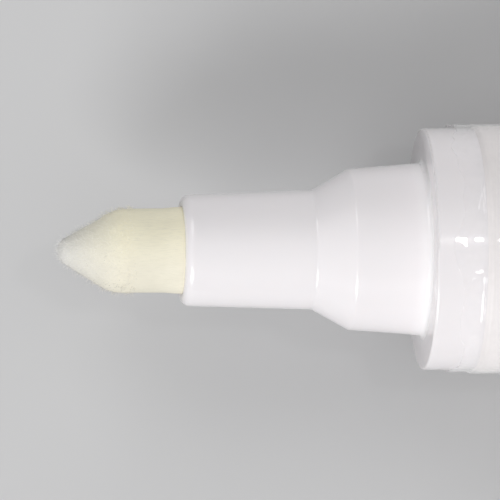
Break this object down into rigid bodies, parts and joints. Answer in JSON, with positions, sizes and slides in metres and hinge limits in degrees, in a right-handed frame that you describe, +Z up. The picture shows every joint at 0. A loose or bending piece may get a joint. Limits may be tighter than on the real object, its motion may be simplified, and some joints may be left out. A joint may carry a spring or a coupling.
{
  "type": "paint marker",
  "caption": "Pump-valve paint marker with a rounded conical fibre nib, stepped tapered nose, smooth round barrel in clear film, and a clip cap posted on its tail.",
  "frame": {"origin": "on the surface that the marker lies on, below the middle of its length and under its axis", "axes": "+X along the marker's axis from the nib to the cap's closed end, +Z up, with the clip on top"},
  "size_m": [0.1542, 0.0154, 0.0179],
  "materials": {
    "nib_fibre": "dense bonded fibre, ground to a point, unused cream white",
    "nose_plastic": "milky white moulded plastic, satin gloss",
    "barrel_plastic": "white moulded plastic, glossy",
    "plug_plastic": "white moulded plastic, satin gloss",
    "clear_film": "thin clear shrink film, glossy, slightly wrinkled at its edge",
    "cap_plastic": "white moulded plastic, satin gloss",
    "liner_plastic": "translucent white plastic, matt",
    "valve_plastic": "natural white plastic, matt",
    "seal_rubber": "soft black rubber",
    "spring_steel": "drawn stainless wire",
    "ball_steel": "polished steel"
  },
  "bodies": {
    "marker": {"barrel": "barrel_plastic", "nose": "nose_plastic", "film_sleeve": "clear_film", "tail_plug": "plug_plastic", "valve_body": "valve_plastic", "valve_cage": "valve_plastic", "valve_spring": "spring_steel"},
    "pump": {"nib_holder": "valve_plastic", "valve_poppet": "valve_plastic", "valve_seal": "seal_rubber"},
    "nib": {"nib": "nib_fibre"},
    "ball": {"mixing_ball": "ball_steel"},
    "cap": {"cap_shell": "cap_plastic", "cap_liner": "liner_plastic"}
  },
  "joints": [
    {"name": "pump_press", "type": "slide", "parent": "marker", "child": "pump", "axis": [1, 0, 0], "range_m": [0, 0.002], "stiffness_N_per_m": 600, "springref_m": -0.002, "deforming": ["valve_spring"]},
    {"name": "nib_pull", "type": "slide", "parent": "pump", "child": "nib", "axis": [-1, 0, 0], "range_m": [0, 0.016]},
    {"name": "ball_roll", "type": "slide", "parent": "marker", "child": "ball", "axis": [1, 0, 0], "range_m": [-0.0284, 0.0348]},
    {"name": "cap_pull", "type": "slide", "parent": "marker", "child": "cap", "axis": [1, 0, 0], "range_m": [0, 0.04]}
  ]
}
